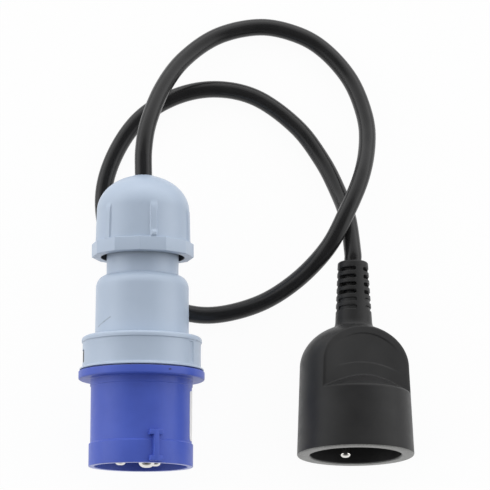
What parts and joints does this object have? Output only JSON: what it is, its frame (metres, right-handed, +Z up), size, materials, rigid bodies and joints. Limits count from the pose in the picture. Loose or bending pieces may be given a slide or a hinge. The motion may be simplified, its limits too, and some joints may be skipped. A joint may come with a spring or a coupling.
{
  "type": "plug adapter lead",
  "caption": "Short black cable lead with a round shrouded pin plug, grey housing and domed gland nut at one end and a black moulded earthed socket at the other.",
  "frame": {"origin": "centre of the box round the two connectors, cable left out, on the plane they lie on", "axes": "+X from the plug towards the socket, +Y from their open ends towards the cable, +Z up"},
  "size_m": [0.1456, 0.2089, 0.0549],
  "materials": {
    "blue_plastic": "satin",
    "grey_plastic": "satin",
    "dark_plastic": "matt",
    "nickel_plate": "nickel plated",
    "steel": "zinc plated",
    "seal_rubber": "matt",
    "sheath_black": "satin",
    "socket_black": "satin",
    "contact_brass": "bright",
    "shutter_white": "satin",
    "brown_insulation": "satin",
    "blue_insulation": "satin",
    "earth_insulation": "satin"
  },
  "bodies": {
    "lead": {"plug_shroud": "blue_plastic", "rear_housing": "grey_plastic", "pin_carrier": "dark_plastic", "clamp_cage": "dark_plastic", "contact_block": "dark_plastic", "plug_earth_pin": "nickel_plate", "plug_line_pin": "nickel_plate", "plug_neutral_pin": "nickel_plate", "socket_earth_pin": "nickel_plate", "terminal_screws": "steel", "shutter_spring": "steel", "gland_seal": "seal_rubber", "cord": "sheath_black", "socket_body": "socket_black", "strain_relief": "socket_black", "socket_face": "socket_black", "socket_line_contact": "contact_brass", "socket_neutral_contact": "contact_brass", "plug_brown_core": "brown_insulation", "socket_brown_core": "brown_insulation", "plug_blue_core": "blue_insulation", "socket_blue_core": "blue_insulation", "plug_earth_core": "earth_insulation", "socket_earth_core": "earth_insulation"},
    "gland_washer": {"gland_washer": "dark_plastic"},
    "gland_nut": {"gland_nut": "grey_plastic"},
    "release_latch": {"release_latch": "dark_plastic"},
    "shutter": {"shutter": "shutter_white"}
  },
  "joints": [
    {"name": "gland_travel", "type": "slide", "parent": "lead", "child": "gland_washer", "axis": [0.0035, 0.9991, 0.0419], "range_m": [0, 0.006]},
    {"name": "gland_turn", "type": "hinge", "parent": "gland_washer", "child": "gland_nut", "pos_m": [-0.04517, 0.03072, 0.02973], "axis": [0.0035, 0.9991, 0.0419], "range_deg": [0, 1085]},
    {"name": "latch_press", "type": "slide", "parent": "lead", "child": "release_latch", "axis": [0.9945, 0.0009, -0.1044], "range_m": [0, 0.0008], "stiffness_N_per_m": 500, "springref_m": -0.001},
    {"name": "shutter_slide", "type": "slide", "parent": "lead", "child": "shutter", "axis": [0.4065, 0.04, 0.9128], "range_m": [0, 0.006], "stiffness_N_per_m": 60, "springref_m": -0.003, "deforming": ["shutter_spring"]}
  ],
  "couplings": [
    {"joint": "gland_turn", "follows": "gland_travel", "rad_per_m": 3141.6}
  ]
}
